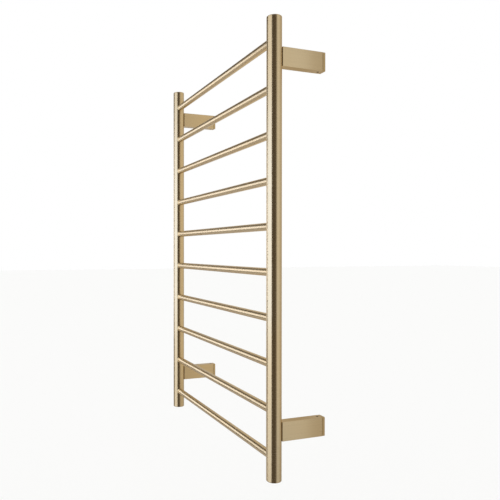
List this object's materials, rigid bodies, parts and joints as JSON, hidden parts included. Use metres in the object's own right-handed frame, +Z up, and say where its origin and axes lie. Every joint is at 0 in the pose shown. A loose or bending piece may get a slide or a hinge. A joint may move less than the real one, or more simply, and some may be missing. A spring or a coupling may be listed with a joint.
{
  "type": "towel warmer rack",
  "caption": "Wall-mounted heated ladder rail: two round uprights, round cross bars and box-section arms, with concealed wiring.",
  "frame": {"origin": "on the wall plane, at the centre of the four wall screws", "axes": "+Z up along the uprights, +Y into the wall, +X to the right for someone facing the rack"},
  "size_m": [0.6, 0.125, 0.9],
  "materials": {
    "brushed_champagne_tube": "stainless steel tube, satin-brushed round its axis, champagne-gold PVD coat",
    "brushed_champagne_bar": "stainless steel tube, satin-brushed round its axis, champagne-gold PVD coat",
    "brushed_champagne_arm": "stainless box section, linished, champagne-gold PVD coat",
    "satin_champagne_boss": "cast stainless, satin, champagne-gold PVD coat",
    "stainless_insert": "turned stainless steel, uncoated",
    "zinc_fastener": "bright zinc-plated steel",
    "black_oxide_screw": "black-oxide steel",
    "silicone_cable": "red silicone jacket",
    "lead_jacket": "white silicone jacket",
    "crimp_sleeve": "heat-shrink sleeve",
    "seal_silicone": "moulded silicone cap",
    "cutout_case": "glass-filled nylon case",
    "grommet_rubber": "moulded rubber",
    "terminal_polyamide": "natural polyamide",
    "earth_brass": "plain brass"
  },
  "bodies": {
    "wall_bosses": {"wall_boss_top_left": "satin_champagne_boss", "wall_boss_top_right": "satin_champagne_boss", "wall_boss_bottom_left": "satin_champagne_boss", "wall_boss_bottom_right": "satin_champagne_boss", "cable_grommet": "grommet_rubber"},
    "rack": {"arm_bottom_left": "brushed_champagne_arm", "arm_bottom_right": "brushed_champagne_arm", "arm_screw_bottom_left": "zinc_fastener", "arm_screw_bottom_right": "zinc_fastener", "arm_screw_top_left": "zinc_fastener", "arm_screw_top_right": "zinc_fastener", "arm_screw_washer_bottom_left": "zinc_fastener", "arm_screw_washer_bottom_right": "zinc_fastener", "arm_screw_washer_top_left": "zinc_fastener", "arm_screw_washer_top_right": "zinc_fastener", "arm_top_left": "brushed_champagne_arm", "arm_top_right": "brushed_champagne_arm", "bar_01": "brushed_champagne_bar", "bar_02": "brushed_champagne_bar", "bar_03": "brushed_champagne_bar", "bar_04": "brushed_champagne_bar", "bar_05": "brushed_champagne_bar", "bar_06": "brushed_champagne_bar", "bar_07": "brushed_champagne_bar", "bar_08": "brushed_champagne_bar", "bar_09": "brushed_champagne_bar", "bar_10": "brushed_champagne_bar", "cable_end_seal": "seal_silicone", "cable_joint_sleeve": "crimp_sleeve", "cable_lead": "lead_jacket", "earth_nut": "earth_brass", "earth_ring": "earth_brass", "earth_stud": "earth_brass", "grub_nut_bottom_left": "stainless_insert", "grub_nut_bottom_right": "stainless_insert", "grub_nut_top_left": "stainless_insert", "grub_nut_top_right": "stainless_insert", "heating_cable": "silicone_cable", "lead_grommet": "grommet_rubber", "terminal_block": "terminal_polyamide", "terminal_screws": "zinc_fastener", "thermal_cutout": "cutout_case", "upright_cap_bottom_left": "brushed_champagne_tube", "upright_cap_bottom_right": "brushed_champagne_tube", "upright_cap_top_left": "brushed_champagne_tube", "upright_cap_top_right": "brushed_champagne_tube", "upright_insert_bottom_left": "stainless_insert", "upright_insert_bottom_right": "stainless_insert", "upright_insert_top_left": "stainless_insert", "upright_insert_top_right": "stainless_insert", "upright_left": "brushed_champagne_tube", "upright_right": "brushed_champagne_tube"},
    "grub_screw_top_left": {"grub_screw_top_left": "black_oxide_screw"},
    "grub_screw_top_right": {"grub_screw_top_right": "black_oxide_screw"},
    "grub_screw_bottom_left": {"grub_screw_bottom_left": "black_oxide_screw"},
    "grub_screw_bottom_right": {"grub_screw_bottom_right": "black_oxide_screw"}
  },
  "joints": [
    {"name": "rack_slide", "type": "slide", "parent": "wall_bosses", "child": "rack", "axis": [0, -1, 0], "range_m": [0, 0.03]},
    {"name": "grub_screw_top_left_travel", "type": "slide", "parent": "rack", "child": "grub_screw_top_left", "axis": [0, 0, -1], "range_m": [0, 0.003]},
    {"name": "grub_screw_top_right_travel", "type": "slide", "parent": "rack", "child": "grub_screw_top_right", "axis": [0, 0, -1], "range_m": [0, 0.003]},
    {"name": "grub_screw_bottom_left_travel", "type": "slide", "parent": "rack", "child": "grub_screw_bottom_left", "axis": [0, 0, 1], "range_m": [0, 0.003]},
    {"name": "grub_screw_bottom_right_travel", "type": "slide", "parent": "rack", "child": "grub_screw_bottom_right", "axis": [0, 0, 1], "range_m": [0, 0.003]}
  ]
}
